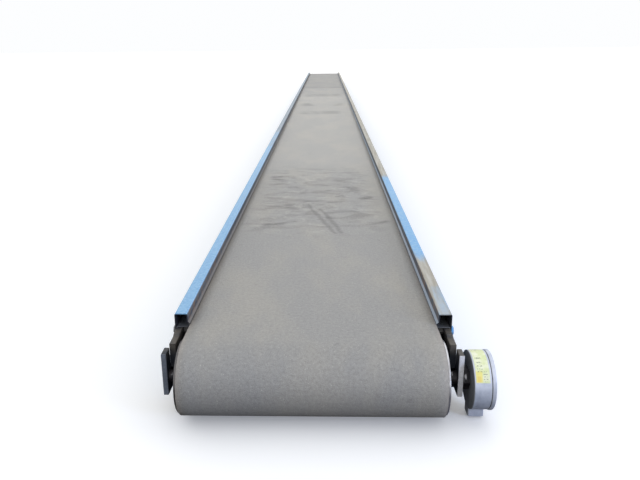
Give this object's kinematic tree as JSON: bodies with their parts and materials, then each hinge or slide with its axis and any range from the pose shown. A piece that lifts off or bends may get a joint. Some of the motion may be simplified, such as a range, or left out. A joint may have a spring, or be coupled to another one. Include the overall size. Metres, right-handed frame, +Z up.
{
  "type": "belt conveyor section",
  "caption": "Straight slider-bed belt conveyor section with side guide rails, a drum motor at the head end and a screw take-up at the tail.",
  "frame": {"origin": "centre of the middle stand's four bolt holes, on the underside of the side frames", "axes": "+X across the belt towards the terminal box, +Y along the belt from head to tail, +Z up"},
  "size_m": [0.7711, 12.2108, 0.215],
  "materials": {
    "belt_rubber": "matt, scuffed",
    "box_alloy": "plain",
    "cast": "plain",
    "copper_core": "plain",
    "frame_paint": "satin, worn",
    "galvanised": "dull zinc",
    "label_film": "satin",
    "plate_paint": "satin, worn",
    "roller_zinc": "plain",
    "seal_rubber": "plain",
    "shell_steel": "plain",
    "steel_bright": "plain",
    "zinc": "plain"
  },
  "bodies": {
    "frame": {"axle_plate_bolts": "zinc", "axle_plate_left": "plate_paint", "axle_plate_right": "plate_paint", "bed_bolts": "zinc", "bed_plate_1": "galvanised", "bed_plate_2": "galvanised", "bed_plate_3": "galvanised", "belt": "belt_rubber", "box_label": "label_film", "cross_member_bolts": "zinc", "cross_members": "galvanised", "drum_shaft_left": "steel_bright", "drum_shaft_right": "steel_bright", "gearbox": "cast", "head_bracket_bolts": "frame_paint", "head_bracket_left": "plate_paint", "head_bracket_right": "plate_paint", "lid_gasket": "seal_rubber", "lid_screws": "zinc", "motor_housing": "box_alloy", "return_roller_axles": "steel_bright", "rotor_bearings": "steel_bright", "shaft_lock_nut": "zinc", "side_frame_left_1": "frame_paint", "side_frame_left_2": "frame_paint", "side_frame_left_3": "frame_paint", "side_frame_right_1": "frame_paint", "side_frame_right_2": "frame_paint", "side_frame_right_3": "frame_paint", "splice_bolts": "zinc", "splice_plates": "galvanised", "stator": "copper_core", "tail_bracket_bolts": "frame_paint", "tail_bracket_left": "plate_paint", "tail_bracket_right": "plate_paint", "terminal_box": "box_alloy", "terminal_box_lid": "box_alloy"},
    "head_drum": {"drum_shell": "shell_steel", "drum_cap_left": "cast", "drum_cap_right": "cast", "drum_bearings": "steel_bright", "drum_seals": "seal_rubber", "drive_coupling": "steel_bright"},
    "rotor": {"motor_rotor": "steel_bright"},
    "tail_carriage": {"tail_shaft": "steel_bright", "take_up_block_left": "cast", "take_up_block_right": "cast"},
    "tail_drum": {"tail_shell": "shell_steel", "tail_cap_left": "cast", "tail_cap_right": "cast", "tail_bearings": "steel_bright"},
    "screw_left": {"take_up_screw_left": "steel_bright"},
    "screw_right": {"take_up_screw_right": "steel_bright"},
    "roller_1": {"return_roller_1": "roller_zinc"},
    "roller_2": {"return_roller_2": "roller_zinc"},
    "roller_3": {"return_roller_3": "roller_zinc"},
    "roller_4": {"return_roller_4": "roller_zinc"},
    "roller_5": {"return_roller_5": "roller_zinc"},
    "roller_6": {"return_roller_6": "roller_zinc"}
  },
  "joints": [
    {"name": "head_drum_spin", "type": "hinge", "parent": "frame", "child": "head_drum", "pos_m": [0, -6, 0.09655], "axis": [1, 0, 0], "continuous": true},
    {"name": "rotor_spin", "type": "hinge", "parent": "frame", "child": "rotor", "pos_m": [0, -6, 0.09655], "axis": [1, 0, 0], "continuous": true},
    {"name": "take_up_slide", "type": "slide", "parent": "frame", "child": "tail_carriage", "axis": [0, 1, 0], "range_m": [-0.02, 0.06], "deforming": ["belt"]},
    {"name": "tail_drum_spin", "type": "hinge", "parent": "tail_carriage", "child": "tail_drum", "pos_m": [0, 6, 0.09655], "axis": [1, 0, 0], "continuous": true},
    {"name": "screw_left_turn", "type": "hinge", "parent": "frame", "child": "screw_left", "pos_m": [-0.3482, 6, 0.09655], "axis": [0, 1, 0], "range_deg": [-3610, 10810]},
    {"name": "screw_right_turn", "type": "hinge", "parent": "frame", "child": "screw_right", "pos_m": [0.3482, 6, 0.09655], "axis": [0, 1, 0], "range_deg": [-3610, 10810]},
    {"name": "roller_1_spin", "type": "hinge", "parent": "frame", "child": "roller_1", "pos_m": [0, -5.7, 0.03055], "axis": [1, 0, 0], "continuous": true},
    {"name": "roller_2_spin", "type": "hinge", "parent": "frame", "child": "roller_2", "pos_m": [0, -3.42, 0.03055], "axis": [1, 0, 0], "continuous": true},
    {"name": "roller_3_spin", "type": "hinge", "parent": "frame", "child": "roller_3", "pos_m": [0, -1.14, 0.03055], "axis": [1, 0, 0], "continuous": true},
    {"name": "roller_4_spin", "type": "hinge", "parent": "frame", "child": "roller_4", "pos_m": [0, 1.14, 0.03055], "axis": [1, 0, 0], "continuous": true},
    {"name": "roller_5_spin", "type": "hinge", "parent": "frame", "child": "roller_5", "pos_m": [0, 3.42, 0.03055], "axis": [1, 0, 0], "continuous": true},
    {"name": "roller_6_spin", "type": "hinge", "parent": "frame", "child": "roller_6", "pos_m": [0, 5.7, 0.03055], "axis": [1, 0, 0], "continuous": true}
  ],
  "couplings": [
    {"joint": "rotor_spin", "follows": "head_drum_spin", "ratio": 12},
    {"joint": "tail_drum_spin", "follows": "head_drum_spin", "ratio": 1},
    {"joint": "screw_left_turn", "follows": "take_up_slide", "rad_per_m": 3141.6},
    {"joint": "screw_right_turn", "follows": "take_up_slide", "rad_per_m": 3141.6},
    {"joint": "roller_1_spin", "follows": "head_drum_spin", "ratio": -3.4845},
    {"joint": "roller_2_spin", "follows": "head_drum_spin", "ratio": -3.4845},
    {"joint": "roller_3_spin", "follows": "head_drum_spin", "ratio": -3.4845},
    {"joint": "roller_4_spin", "follows": "head_drum_spin", "ratio": -3.4845},
    {"joint": "roller_5_spin", "follows": "head_drum_spin", "ratio": -3.4845},
    {"joint": "roller_6_spin", "follows": "head_drum_spin", "ratio": -3.4845}
  ]
}
